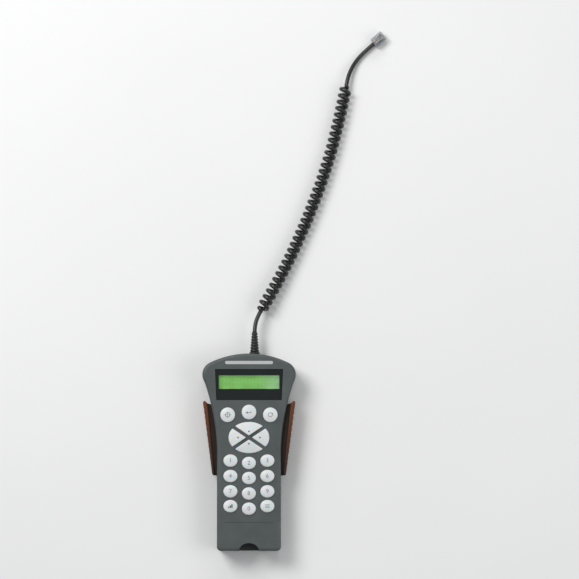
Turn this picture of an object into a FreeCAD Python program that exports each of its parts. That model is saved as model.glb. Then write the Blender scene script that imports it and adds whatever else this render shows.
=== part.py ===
"""Telescope hand controller: a keyhole-shaped two-part case with a backlit display, nineteen
rubber keys, rubber side grips and a coiled cord that ends in a modular plug.

The controller lies on its back.  +Z is out of the keys, +Y is towards the display and the cord,
+X is to the right of someone reading the keys.  The origin is the middle of the case's back.
All sizes are in millimetres.
"""
import FreeCAD, Part
import math
import os
import Sketcher

Vector = FreeCAD.Vector

SIZES = {
    # Case outline, seen from the front
    "case_length": 185.2,
    "lower_half_width": 30.0,
    "lower_corner_radius": 4.0,
    "flare_start": -4.0,
    "flare_radius": 210.0,
    "neck_radius": 20.0,
    "shoulder_x": 31.5,
    "shoulder_y": 72.8,
    "shoulder_radius": 12.5,
    # Case depth
    "case_top": 29.0,
    "part_line": 14.0,
    "wall": 2.2,
    "face_thick": 2.6,
    "rim_radius": 3.0,
    "back_radius": 3.5,
    "rear_step": 0.35,
    # Display
    "lens_top_wide": 63.6,
    "lens_bottom_wide": 61.0,
    "lens_high": 28.8,
    "lens_y": 63.2,
    "lens_thick": 1.4,
    "lens_gap": 0.2,
    "tape_thick": 0.3,
    "window_wide": 59.0,
    "window_high": 16.0,
    "window_y": 65.5,
    "frame_wide": 62.0,
    "frame_high": 23.0,
    "frame_y": 65.5,
    "frame_top": 25.9,
    "frame_sheet": 0.6,
    "glass_thick": 2.6,
    "lcd_board_wide": 64.0,
    "lcd_board_high": 36.6,
    "lcd_board_y": 64.3,
    # Circuit board and rubber mat
    "board_low": 17.6,
    "board_thick": 1.6,
    "board_half_width": 26.6,
    "board_bottom": -83.0,
    "board_end": 45.0,
    "mat_thick": 1.8,
    "mat_half_width": 26.2,
    "mat_bottom": -62.0,
    # Keys
    "key_top": 31.2,
    "key_travel": 1.0,
    "key_gap": 0.35,
    "key_lip": 0.8,
    "number_half_wide": 6.7,
    "number_half_high": 5.9,
    "round_half": 7.0,
    "pad_half_wide": 19.25,
    "pad_half_high": 14.8,
    "pad_y": 13.4,
    "pad_split": 3.0,
    "pad_angle": 34.0,
    "lip_low": 24.7,
    "lip_high": 26.2,
    "core_radius": 3.9,
    "core_low": 20.85,
    "pill_radius": 3.2,
    "pill_thick": 0.55,
    "web_radius": 5.6,
    "web_thick": 0.5,
    "web_high": 2.4,
    # Screws and their posts
    "screw_shank": 1.2,
    "screw_head": 2.9,
    "screw_head_high": 1.8,
    "screw_top": 22.0,
    "screw_hole": 9.0,
    "screw_post": 4.2,
    "nut_post": 3.4,
    "head_seat": 5.0,
    "small_shank": 1.0,
    "small_head": 2.0,
    "small_head_high": 1.3,
    "small_top": 23.5,
    "small_hole": 6.5,
    "small_post": 2.4,
    # Blank label in the back
    "label_half_wide": 22.0,
    "label_low": -34.0,
    "label_high": -6.0,
    "label_recess": 0.5,
    # Data socket in the lower end
    "recess_half_wide": 9.5,
    "recess_deep": 7.5,
    "recess_wall": 1.6,
    "recess_floor": 4.4,
    "socket_half_wide": 6.7,
    "socket_low": 5.0,
    "socket_front": -83.4,
    "socket_deep": 16.0,
    "socket_back_wall": 3.0,
    "jack_half_wide": 4.95,
    "jack_low": 8.0,
    "jack_high": 14.9,
    "latch_way_half_wide": 3.2,
    "latch_way_low": 5.9,
    "throat_half_wide": 5.6,
    "throat_high": 15.4,
    "contact_radius": 0.2,
    # Side grips
    "grip_top": 46.0,
    "grip_bottom": -21.6,
    "grip_rake": 2.4,
    "grip_round": 2.0,
    "rail_inset": 1.5,
    "rail_root_x": 24.0,
    "rail_top_x": 39.4,
    "rail_bottom_x": 32.4,
    "grip_top_x": 43.8,
    "grip_bottom_x": 34.6,
    "grip_low": 4.5,
    "grip_high": 24.5,
    # Cord
    "cable_radius": 1.95,
    "coil_radius": 6.3,
    "cord_x": 5.0,
    "relief_radius": 5.0,
    "relief_neck": 3.5,
    "relief_start": 87.7,
    "relief_end": 114.0,
    "connector_x": 6.0,
    "connector_half_wide": 8.0,
    "connector_low_y": 32.0,
    "connector_high_y": 39.0,
    "connector_high": 5.6,
    "lead_radius": 0.45,
    # Plug
    "plug_wide": 9.65,
    "plug_long": 12.4,
    "plug_high": 6.6,
    "blade_long": 4.8,
    "blade_high": 1.2,
    "latch_wide": 4.6,
    "latch_root": 2.0,
    "latch_root_drop": 0.4,
    "latch_root_radius": 0.5,
}

CONTACTS = 6
CONTACT_PITCH = 1.27
LEAD_PITCH = 2.2
LEAD_CIRCLE = 1.2
DIGIT_COLUMN = 17.3
PETAL_CORES = ((0.0, -9.4), (12.8, 0.0), (0.0, 9.4), (-12.8, 0.0))
KEY_ROWS = {"side": (-8.2, -22.6, -36.9, -50.7), "middle": (-10.4, -24.5, -38.9, -53.1)}
TOP_KEY_X = 20.0
TOP_KEY_Y = {"side": 34.7, "middle": 37.3}
CASE_SCREWS = ((36.8, 70.5), (-36.8, 70.5), (23.4, 3.4), (-23.4, 3.4), (21.0, -76.0), (-21.0, -76.0))
BOARD_SCREWS = ((24.6, 22.5), (-24.6, 22.5), (12.0, -66.5), (-12.0, -66.5))
LCD_SCREWS = ((29.5, 48.2), (-29.5, 48.2), (29.5, 80.3), (-29.5, 80.3))
LED_SPOTS = [(side * 8.65, y) for side in (-1, 1) for y in (-9.3, -23.6, -37.9, -51.9)]
LED_SPOTS += [(-12.0, 26.5), (12.0, 26.5)]
PACKAGES = ((0, -30, 14, 14, 1.8), (-16, -30, 6, 10, 1.6), (15, -34, 8, 8, 1.6),
            (14, 8, 6, 5, 1.5), (-14, 14, 9, 4, 2.4))
CAPACITORS = ((-18, -52), (-10, -52))

# The cord's centreline, chosen by hand: out of the strain relief, down to the surface and away
# to the right in one slow bend.  Each list starts where the one before it ends.
NEAR_ROUTE = ((5.0, 114.0, 14.0), (5.4, 120.2, 13.6), (7.2, 126.6, 12.6), (10.2, 132.8, 11.3))
COIL_ROUTE = ((10.2, 132.8, 11.3), (26.2, 160.4, 7.8), (43.2, 194.6, 6.6), (59.0, 231.6, 6.5),
              (73.2, 271.0, 6.5), (84.4, 312.0, 6.5), (92.4, 350.8, 6.5))
FAR_ROUTE = ((92.4, 350.8, 6.5), (94.0, 358.6, 5.9), (96.8, 366.2, 4.6), (101.0, 373.6, 3.2),
             (106.4, 380.2, 2.6), (112.6, 386.0, 3.0), (118.8, 391.4, 3.4))

doc = FreeCAD.newDocument("hand_controller")
sheet = doc.addObject("Spreadsheet::Sheet", "Sizes")
for row, (alias, value) in enumerate(SIZES.items(), start=1):
    sheet.set(f"A{row}", alias)
    sheet.set(f"B{row}", str(value))
    sheet.setAlias(f"B{row}", alias)
doc.recompute()


def formula(value):
    """Return a value as a formula in which every word that the sheet knows names its cell."""
    words = str(value)
    for alias in sorted(SIZES, key=len, reverse=True):
        words = words.replace(alias, f"<{list(SIZES).index(alias)}>")
    for index, alias in enumerate(SIZES):
        words = words.replace(f"<{index}>", f"Sizes.{alias}")
    return words


def number(value):
    """Work a formula out as a number, for a shape whose feature cannot be bound."""
    probe.setExpression("Length", f"({formula(value)}) + 1000")
    doc.recompute([probe])
    return probe.Length.Value - 1000.0


probe = doc.addObject("Part::Box", "probe")


def bind(item, **formulas):
    """Bind an object's properties; two underscores stand for a dot."""
    for name, value in formulas.items():
        item.setExpression(name.replace("__", "."), formula(value))
    return item


def put(item, x=0, y=0, z=0):
    """Bind an object's position."""
    return bind(item, Placement__Base__x=x, Placement__Base__y=y, Placement__Base__z=z)


def name_for(kind):
    """Give a construction object a free name."""
    return f"{kind}_{len(doc.Objects)}"


def box(x_range, y_range, z_range):
    """A block between two limits along each axis."""
    item = doc.addObject("Part::Box", name_for("block"))
    spans = {axis: f"({limits[1]}) - ({limits[0]})"
             for axis, limits in zip(("Length", "Width", "Height"), (x_range, y_range, z_range))}
    bind(item, **spans)
    return put(item, x_range[0], y_range[0], z_range[0])


def cylinder(x, y, radius, z_range):
    """An upright round bar."""
    item = doc.addObject("Part::Cylinder", name_for("round"))
    bind(item, Radius=radius, Height=f"({z_range[1]}) - ({z_range[0]})")
    return put(item, x, y, z_range[0])


def cone(x, y, radii, z_range):
    """An upright cone."""
    item = doc.addObject("Part::Cone", name_for("cone"))
    bind(item, Radius1=radii[0], Radius2=radii[1], Height=f"({z_range[1]}) - ({z_range[0]})")
    return put(item, x, y, z_range[0])


def bar_along_y(x, z, radius, y_range):
    """A round bar that runs along +Y."""
    item = doc.addObject("Part::Cylinder", name_for("bar"))
    bind(item, Radius=radius, Height=f"({y_range[1]}) - ({y_range[0]})")
    item.Placement = FreeCAD.Placement(Vector(), FreeCAD.Rotation(Vector(1, 0, 0), -90))
    return put(item, x, y_range[0], z)


def bar_along_x(y, z, radius, x_range):
    """A round bar that runs along +X."""
    item = doc.addObject("Part::Cylinder", name_for("bar"))
    bind(item, Radius=radius, Height=f"({x_range[1]}) - ({x_range[0]})")
    item.Placement = FreeCAD.Placement(Vector(), FreeCAD.Rotation(Vector(0, 1, 0), 90))
    return put(item, x_range[0], y, z)


def in_a_row(pitch, count=CONTACTS):
    """Places along a line, evenly spaced about its middle."""
    return [(index - (count - 1) / 2) * pitch for index in range(count)]


def oval(x, y, half_wide, half_high, z_range):
    """An upright oval bar."""
    outline = doc.addObject("Part::Ellipse", name_for("oval_outline"))
    bind(outline, MajorRadius=half_wide, MinorRadius=half_high)
    item = doc.addObject("Part::Extrusion", name_for("oval"))
    item.Base = outline
    item.DirMode = "Custom"
    item.Dir = Vector(0, 0, 1)
    item.Solid = True
    bind(item, LengthFwd=f"({z_range[1]}) - ({z_range[0]})")
    return put(item, x, y, z_range[0])


def crown(x, y, half_wide, half_high, depth):
    """An ellipsoid that rounds off the top of a key: it just reaches the keys' highest level."""
    item = doc.addObject("Part::Ellipsoid", name_for("crown"))
    item.Angle1, item.Angle2, item.Angle3 = -90, 90, 360
    bind(item, Radius1=depth, Radius2=f"({half_wide}) * 1.8", Radius3=f"({half_high}) * 1.8")
    return put(item, x, y, f"key_top - ({depth})")


def combine(kind, items, label=None):
    """Join, intersect or group several objects."""
    item = doc.addObject(kind, label or name_for("joined"))
    setattr(item, "Links" if kind == "Part::Compound" else "Shapes", items)
    if label:
        item.Label = label
    return item


def fuse(items, label=None):
    return combine("Part::MultiFuse", items, label)


def plate(corners, z_range, label=None):
    """A flat plate with straight sides."""
    body = doc.addObject("PartDesign::Body", label or name_for("plate"))
    outline = sketch_on(body, "XY_Plane", z_range[0])
    polygon(outline, corners)
    pad = body.newObject("PartDesign::Pad", name_for("pad"))
    pad.Profile = outline
    bind(pad, Length=f"({z_range[1]}) - ({z_range[0]})")
    if label:
        body.Label = label
    return body


def lens_corners(grow):
    """The display lens's outline, a little narrower towards the keys, grown by a margin."""
    low, high = f"lens_y - lens_high / 2 - ({grow})", f"lens_y + lens_high / 2 + ({grow})"
    bottom, top = f"lens_bottom_wide / 2 + ({grow})", f"lens_top_wide / 2 + ({grow})"
    return ((f"-({bottom})", low), (bottom, low), (top, high), (f"-({top})", high))


def common(items, label=None):
    return combine("Part::MultiCommon", items, label)


def group(items, label=None):
    return combine("Part::Compound", items, label)


def cut(base, tools, label=None):
    """Take one or more tools away from a base."""
    item = doc.addObject("Part::Cut", label or name_for("cut"))
    item.Base = base
    item.Tool = tools[0] if len(tools) == 1 else fuse(tools)
    if label:
        item.Label = label
    return item


def plane_of(body, role):
    """One of a body's own origin planes."""
    return next(item for item in body.Origin.OriginFeatures if item.Role == role)


def sketch_on(body, role, height=0):
    """An empty sketch on a body's own plane, lifted to a height."""
    sketch = body.newObject("Sketcher::SketchObject", name_for("outline"))
    sketch.AttachmentSupport = (plane_of(body, role), [""])
    sketch.MapMode = "FlatFace"
    bind(sketch, AttachmentOffset__Base__z=height)
    return sketch


def hold(sketch, name, constraint, value):
    """Add a named dimension to a sketch and bind it."""
    index = sketch.addConstraint(constraint)
    sketch.renameConstraint(index, name)
    sketch.setExpression(f"Constraints.{name}", formula(value))


def polygon(sketch, corners):
    """Draw a closed outline of straight sides, with every corner bound."""
    points = [Vector(number(x), number(y), 0) for x, y in corners]
    for index, point in enumerate(points):
        sketch.addGeometry(Part.LineSegment(point, points[(index + 1) % len(points)]))
    for index, (x, y) in enumerate(corners):
        following = (index + 1) % len(points)
        sketch.addConstraint(Sketcher.Constraint("Coincident", index, 2, following, 1))
        start = points[index]
        hold(sketch, f"x{index}", Sketcher.Constraint("DistanceX", -1, 1, index, 1, start.x), x)
        hold(sketch, f"y{index}", Sketcher.Constraint("DistanceY", -1, 1, index, 1, start.y), y)


def arc(centre, radius, start, end):
    """A circular arc that runs anticlockwise from one angle to another, in radians."""
    circle = Part.Circle(centre, Vector(0, 0, 1), radius)
    return Part.ArcOfCircle(circle, start, end)


def heading(origin, target):
    """The angle from one point to another."""
    return math.atan2(target.y - origin.y, target.x - origin.x)


def case_half(sketch, inset):
    """Draw the right half of the case's outline, moved in from the outside by an inset.

    From the bottom: a flat end, a small corner, a straight side, a long hollow flare, a short
    hollow neck, a round shoulder and a slightly arched top.  Offset arcs keep their centres.
    """
    by = number(inset)
    half = SIZES["case_length"] / 2
    side = SIZES["lower_half_width"]
    corner = Vector(side - SIZES["lower_corner_radius"], SIZES["lower_corner_radius"] - half, 0)
    flare = Vector(side + SIZES["flare_radius"], SIZES["flare_start"], 0)
    shoulder = Vector(SIZES["shoulder_x"], SIZES["shoulder_y"], 0)
    to_shoulder = SIZES["neck_radius"] + SIZES["shoulder_radius"]
    to_flare = SIZES["flare_radius"] - SIZES["neck_radius"]
    between = flare.sub(shoulder)
    along = (to_shoulder**2 - to_flare**2 + between.Length**2) / (2 * between.Length)
    across = math.sqrt(to_shoulder**2 - along**2)
    unit = Vector(between).normalize()
    neck = shoulder + unit * along + Vector(unit.y, -unit.x, 0) * across
    drop = SIZES["shoulder_y"] - half
    radius = SIZES["shoulder_radius"]
    top_radius = (radius**2 - SIZES["shoulder_x"]**2 - drop**2) / (2 * (drop + radius))
    top = Vector(0, half - top_radius, 0)

    low = by - half
    left, right = math.pi, 0.0
    sketch.addGeometry(Part.LineSegment(Vector(0, low, 0), Vector(corner.x, low, 0)))
    sketch.addGeometry(arc(corner, SIZES["lower_corner_radius"] - by, -math.pi / 2, right))
    sketch.addGeometry(Part.LineSegment(Vector(side - by, corner.y, 0), Vector(side - by, flare.y, 0)))
    sketch.addGeometry(arc(flare, SIZES["flare_radius"] + by, heading(flare, neck), left))
    sketch.addGeometry(arc(neck, SIZES["neck_radius"] + by, heading(neck, shoulder),
                           heading(flare, neck)))
    sketch.addGeometry(arc(shoulder, radius - by, heading(shoulder, neck), heading(top, shoulder)))
    sketch.addGeometry(arc(top, top_radius - by, heading(top, shoulder), math.pi / 2))
    sketch.addGeometry(Part.LineSegment(Vector(0, half - by, 0), Vector(0, low, 0)))

    joints = ((0, 2, 1, 1), (1, 2, 2, 1), (2, 2, 3, 2), (3, 1, 4, 2), (4, 1, 5, 1), (5, 2, 6, 1))
    for joint in joints:
        sketch.addConstraint(Sketcher.Constraint("Tangent", *joint))
    sketch.addConstraint(Sketcher.Constraint("Coincident", 6, 2, 7, 1))
    sketch.addConstraint(Sketcher.Constraint("Coincident", 7, 2, 0, 1))
    sketch.addConstraint(Sketcher.Constraint("Horizontal", 0))
    sketch.addConstraint(Sketcher.Constraint("Vertical", 2))
    for geometry, point in ((0, 1), (6, 2), (6, 3)):
        sketch.addConstraint(Sketcher.Constraint("PointOnObject", geometry, point, -2))
    hold(sketch, "low_end", Sketcher.Constraint("DistanceY", -1, 1, 0, 1, low),
         f"({inset}) - case_length / 2")
    hold(sketch, "side", Sketcher.Constraint("DistanceX", -1, 1, 2, 1, side - by),
         f"lower_half_width - ({inset})")
    hold(sketch, "top_end", Sketcher.Constraint("DistanceY", -1, 1, 7, 1, half - by),
         f"case_length / 2 - ({inset})")
    hold(sketch, "flare_y", Sketcher.Constraint("DistanceY", -1, 1, 3, 3, flare.y), "flare_start")
    hold(sketch, "shoulder_x", Sketcher.Constraint("DistanceX", -1, 1, 5, 3, shoulder.x),
         "shoulder_x")
    hold(sketch, "shoulder_y", Sketcher.Constraint("DistanceY", -1, 1, 5, 3, shoulder.y),
         "shoulder_y")
    hold(sketch, "corner", Sketcher.Constraint("Radius", 1, SIZES["lower_corner_radius"] - by),
         f"lower_corner_radius - ({inset})")
    hold(sketch, "flare", Sketcher.Constraint("Radius", 3, SIZES["flare_radius"] + by),
         f"flare_radius + ({inset})")
    hold(sketch, "neck", Sketcher.Constraint("Radius", 4, SIZES["neck_radius"] + by),
         f"neck_radius + ({inset})")
    hold(sketch, "shoulder", Sketcher.Constraint("Radius", 5, radius - by),
         f"shoulder_radius - ({inset})")


def case_shell(name, z_range, inset, cavity_range, rim_height, rim_radius):
    """One half of the case: padded, hollowed, mirrored and rounded along its outer rim."""
    body = doc.addObject("PartDesign::Body", name)
    outline = sketch_on(body, "XY_Plane", z_range[0])
    case_half(outline, inset)
    pad = body.newObject("PartDesign::Pad", name_for("pad"))
    pad.Profile = outline
    bind(pad, Length=f"({z_range[1]}) - ({z_range[0]})")
    features = [pad]
    if cavity_range:
        hollow = sketch_on(body, "XY_Plane", cavity_range[0])
        case_half(hollow, "wall")
        pocket = body.newObject("PartDesign::Pocket", name_for("pocket"))
        pocket.Profile = hollow
        pocket.Reversed = True
        bind(pocket, Length=f"({cavity_range[1]}) - ({cavity_range[0]})")
        features.append(pocket)
    doc.recompute()
    mirrored = body.newObject("PartDesign::Mirrored", name_for("mirrored"))
    mirrored.Originals = features
    mirrored.MirrorPlane = (plane_of(body, "YZ_Plane"), [""])
    body.Tip = mirrored
    doc.recompute()
    if rim_radius:
        height = number(rim_height)
        rim = [f"Edge{index}" for index, edge in enumerate(mirrored.Shape.Edges, start=1)
               if all(abs(vertex.Z - height) < 1e-6 for vertex in edge.Vertexes)]
        fillet = body.newObject("PartDesign::Fillet", name_for("rim"))
        fillet.Base = (mirrored, rim)
        bind(fillet, Radius=rim_radius)
        body.Tip = fillet
    doc.recompute()
    return body


def petal(side, grow, z_range):
    """One quarter of the direction pad: an oval bar cut down by a wedge.

    side is 0 for the lower petal, then 1 right, 2 upper and 3 left.
    """
    angle = "(90 - pad_angle)" if side % 2 == 0 else "pad_angle"
    disc = oval(0, "pad_y", f"pad_half_wide + ({grow})", f"pad_half_high + ({grow})", z_range)
    wedge = doc.addObject("Part::Wedge", name_for("wedge"))
    reach = 40
    spread = f"{reach} * tan({angle} * 1deg)"
    bind(wedge, Xmin=f"-{spread}", Xmax=spread, Ymin=f"-{reach}", Ymax="0", X2min="0", X2max="0",
         Zmin=z_range[0], Zmax=z_range[1], Z2min=z_range[0], Z2max=z_range[1])
    wedge.Placement = FreeCAD.Placement(Vector(), FreeCAD.Rotation(Vector(0, 0, 1), 90 * side))
    back = f"((pad_split / 2 - ({grow})) / sin({angle} * 1deg))"
    step_x, step_y = ((0, -1), (1, 0), (0, 1), (-1, 0))[side]
    put(wedge, f"{step_x} * {back}", f"pad_y + ({step_y} * {back})")
    return common([disc, wedge])


def key_layout():
    """Every key as (name, x, y, half width, half height, petal side or None)."""
    keys = [("key_align", -TOP_KEY_X, TOP_KEY_Y["side"]), ("key_enter", 0.0, TOP_KEY_Y["middle"]),
            ("key_back", TOP_KEY_X, TOP_KEY_Y["side"])]
    rows = [(name, x, y, "round_half", "round_half", None) for name, x, y in keys]
    digits = (("key_1", "key_2", "key_3"), ("key_4", "key_5", "key_6"),
              ("key_7", "key_8", "key_9"), ("key_speed", "key_0", "key_menu"))
    for line, names in enumerate(digits):
        for column, name in enumerate(names):
            y = KEY_ROWS["middle" if column == 1 else "side"][line]
            rows.append((name, (column - 1) * DIGIT_COLUMN, y, "number_half_wide",
                         "number_half_high", None))
    for side, name in enumerate(("key_down", "key_right", "key_up", "key_left")):
        x, y = PETAL_CORES[side]
        rows.append((name, x, SIZES["pad_y"] + y, None, None, side))
    return rows


def key_solid(key, grow, z_range):
    """A key's outline as a bar, grown all round by a margin."""
    x, y, half_wide, half_high, side = key[1:]
    if side is None:
        return oval(x, y, f"{half_wide} + ({grow})", f"{half_high} + ({grow})", z_range)
    return petal(side, grow, z_range)


def make_key(key):
    """A key: crowned cap, retaining lip and round core, with a carbon pill under it."""
    name, x, y, half_wide, half_high, side = key
    bar = key_solid(key, "0", ("lip_high", "key_top"))
    if side is None:
        dome = crown(x, y, half_wide, half_high, 6)
    else:
        dome = crown(0, "pad_y", "pad_half_wide", "pad_half_high", 10)
    cap = common([bar, dome])
    lip = key_solid(key, "key_lip", ("lip_low", "lip_high"))
    core = cylinder(x, y, "core_radius", ("core_low", "lip_low"))
    pill = cylinder(x, y, "pill_radius", ("core_low - pill_thick", "core_low"))
    return group([fuse([cap, lip, core]), pill], name)


def tube_path(points):
    """Straight runs joined by tangent arcs, each as large as its two runs allow."""
    places = [Vector(*point) for point in points]
    edges, radii, start = [], [], places[0]
    for before, middle, after in zip(places, places[1:], places[2:]):
        back, ahead = before.sub(middle), after.sub(middle)
        reach = 0.45 * min(back.Length, ahead.Length)
        turn = math.pi - back.getAngle(ahead)
        radii.append(reach / math.tan(turn / 2))
        first = middle + back.normalize() * reach
        last = middle + ahead.normalize() * reach
        towards = (first + last) * 0.5 - middle
        centre = middle + towards.normalize() * (radii[-1] / math.cos(turn / 2))
        inner = centre + (middle - centre).normalize() * radii[-1]
        edges += [Part.LineSegment(start, first).toShape(), Part.Arc(first, inner, last).toShape()]
        start = last
    edges.append(Part.LineSegment(start, places[-1]).toShape())
    return Part.Wire(edges), radii


def tube(points, radius, label=None):
    """A round tube along a route, its volume compared with its section times its length."""
    path, radii = tube_path(points)
    spine = doc.addObject("Part::Feature", name_for("route"))
    spine.Shape = path
    section = doc.addObject("Part::Circle", name_for("section"))
    bind(section, Radius=radius)
    direction = Vector(*points[1]).sub(Vector(*points[0]))
    section.Placement = FreeCAD.Placement(Vector(*points[0]),
                                          FreeCAD.Rotation(Vector(0, 0, 1), direction))
    item = doc.addObject("Part::Sweep", label or name_for("tube"))
    item.Sections = [section]
    item.Spine = (spine, [f"Edge{index + 1}" for index in range(len(path.Edges))])
    item.Solid = True
    item.Frenet = True
    if label:
        item.Label = label
        doc.recompute()
        expected = math.pi * number(radius)**2 * path.Length
        print(f"{label}: length {path.Length:.1f}, smallest arc radius {min(radii):.1f}, "
              f"volume ratio {item.Shape.Volume / expected:.4f}")
    return item


def screws(spots, shank, head, head_range, shank_top, label):
    """A group of identical screws, heads down."""
    solids = []
    for x, y in spots:
        solids.append(fuse([cylinder(x, y, head, head_range),
                            cylinder(x, y, shank, (head_range[1], shank_top))]))
        recess = box((x - 0.3, x + 0.3), (f"{y} - {head} * 0.6", f"{y} + {head} * 0.6"),
                     (head_range[0], f"{head_range[0]} + 0.5"))
        solids[-1] = cut(solids[-1], [recess])
    return group(solids, label)


def frame(x_half, y_middle, y_half, inner_half, inner_y, inner_y_half, z_range, label):
    """A flat rectangular ring."""
    outer = box((f"-({x_half})", x_half), (f"{y_middle} - ({y_half})", f"{y_middle} + ({y_half})"),
                z_range)
    inner = box((f"-({inner_half})", inner_half),
                (f"{inner_y} - ({inner_y_half})", f"{inner_y} + ({inner_y_half})"), z_range)
    return cut(outer, [inner], label)


def make_case(keys):
    """The two halves of the case, with their posts, windows and openings."""
    underside = "case_top - face_thick"
    front = case_shell("front_case", ("part_line", "case_top"), "0",
                       ("part_line", underside), "case_top", "rim_radius")
    block_x = ("-recess_half_wide - recess_wall", "recess_half_wide + recess_wall")
    low_end = "rear_step - case_length / 2"
    block_y = (low_end, "recess_deep + recess_wall - case_length / 2")
    added = [box(block_x, block_y, ("part_line", underside))]
    removed = [oval(0, "-case_length / 2", "recess_half_wide", "recess_deep",
                    ("recess_floor", "case_top + 1"))]
    for x, y in CASE_SCREWS:
        added.append(cylinder(x, y, "nut_post", ("part_line", underside)))
        removed.append(cylinder(x, y, "screw_shank + 0.05", ("part_line", "part_line + screw_hole")))
    for x, y in BOARD_SCREWS + LCD_SCREWS:
        added.append(cylinder(x, y, "small_post", ("board_low + board_thick", underside)))
        removed.append(cylinder(x, y, "small_shank + 0.05", ("board_low", "board_low + small_hole")))
    removed += [key_solid(key, "key_gap", (f"{underside} - 1", "case_top + 1")) for key in keys]
    removed.append(plate(lens_corners("lens_gap"),
                         ("case_top - lens_thick - tape_thick", "case_top + 1")))
    removed.append(box(("-window_wide / 2", "window_wide / 2"),
                       ("window_y - window_high / 2", "window_y + window_high / 2"),
                       (f"{underside} - 1", "case_top")))
    throat = box(("-throat_half_wide", "throat_half_wide"),
                 ("recess_deep / 2 - case_length / 2", "socket_front + 1"),
                 ("latch_way_low - 0.3", "throat_high"))
    cord_hole = bar_along_y("cord_x", "part_line", "relief_neck + 0.1",
                            ("relief_start - 1", "relief_start + 8"))
    removed += [throat, cord_hole]
    cut(fuse([front] + added), removed, "front_shell")

    rear = case_shell("rear_case", (0, "part_line"), "rear_step", ("wall", "part_line"),
                      0, "back_radius")
    added = [box(block_x, ("rear_step + 1 - case_length / 2", block_y[1]), ("wall", "part_line"))]
    removed = [oval(0, "-case_length / 2", "recess_half_wide", "recess_deep",
                    ("recess_floor", "part_line + 1"))]
    for x, y in CASE_SCREWS:
        added.append(cylinder(x, y, "screw_post", ("wall", "part_line")))
        removed.append(cylinder(x, y, "screw_shank + 0.4", (0, "part_line + 1")))
        removed.append(cylinder(x, y, "screw_head + 0.3", (-1, "head_seat")))
    removed.append(box(("-label_half_wide", "label_half_wide"), ("label_low", "label_high"),
                       (-1, "label_recess")))
    removed += [throat, cord_hole]
    cut(fuse([rear] + added), removed, "rear_shell")
    screws(CASE_SCREWS, "screw_shank", "screw_head", ("head_seat - screw_head_high", "head_seat"),
           "screw_top", "case_screws")
    label = box(("0.2 - label_half_wide", "label_half_wide - 0.2"),
                ("label_low + 0.2", "label_high - 0.2"), ("label_recess - 0.35", "label_recess"))
    label.Label = "rear_label"


def make_display():
    """The display: lens, tape, metal frame, glass, backlight, board and ribbon."""
    plate(lens_corners("0"), ("case_top - lens_thick", "case_top"), "display_lens")
    tape_range = ("case_top - lens_thick - tape_thick", "case_top - lens_thick")
    hole = box(("-window_wide / 2 - 0.2", "window_wide / 2 + 0.2"),
               ("window_y - window_high / 2 - 0.2", "window_y + window_high / 2 + 0.2"),
               tape_range)
    cut(plate(lens_corners("-0.2"), tape_range), [hole], "lens_tape")
    frame("frame_wide / 2 - 0.2", "frame_y", "frame_high / 2 - 0.5", "window_wide / 2 + 0.2",
          "window_y", "window_high / 2 + 0.2", ("frame_top", "case_top - face_thick"),
          "display_seal")
    board_top = "board_low + board_thick"
    can = box(("-frame_wide / 2", "frame_wide / 2"),
              ("frame_y - frame_high / 2", "frame_y + frame_high / 2"), (board_top, "frame_top"))
    inside = box(("frame_sheet - frame_wide / 2", "frame_wide / 2 - frame_sheet"),
                 ("frame_y + frame_sheet - frame_high / 2", "frame_y - frame_sheet + frame_high / 2"),
                 (f"{board_top} - 1", "frame_top - frame_sheet"))
    view = box(("0.3 - window_wide / 2", "window_wide / 2 - 0.3"),
               ("window_y + 0.3 - window_high / 2", "window_y - 0.3 + window_high / 2"),
               ("frame_top - frame_sheet - 1", "frame_top + 1"))
    cut(can, [inside, view], "lcd_frame")
    inner_x = ("frame_sheet + 0.2 - frame_wide / 2", "frame_wide / 2 - frame_sheet - 0.2")
    inner_y = ("frame_y + frame_sheet + 0.2 - frame_high / 2",
               "frame_y - frame_sheet - 0.2 + frame_high / 2")
    glass_low = "frame_top - frame_sheet - glass_thick"
    glass = box(inner_x, inner_y, (glass_low, "frame_top - frame_sheet"))
    glass.Label = "lcd_glass"
    light = box(inner_x, inner_y, (board_top, glass_low))
    light.Label = "lcd_backlight"
    card = box(("-lcd_board_wide / 2", "lcd_board_wide / 2"),
               ("lcd_board_y - lcd_board_high / 2", "lcd_board_y + lcd_board_high / 2"),
               ("board_low", board_top))
    holes = [cylinder(x, y, "small_shank + 0.2", ("board_low - 1", f"{board_top} + 1"))
             for x, y in LCD_SCREWS]
    cut(card, holes, "lcd_board")
    ribbon = box((-20, 20), ("board_end - 4", "board_end + 5"), ("board_low - 0.4", "board_low"))
    ribbon.Label = "lcd_ribbon"
    screws(LCD_SCREWS, "small_shank", "small_head", ("board_low - small_head_high", "board_low"),
           "small_top", "lcd_screws")


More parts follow.
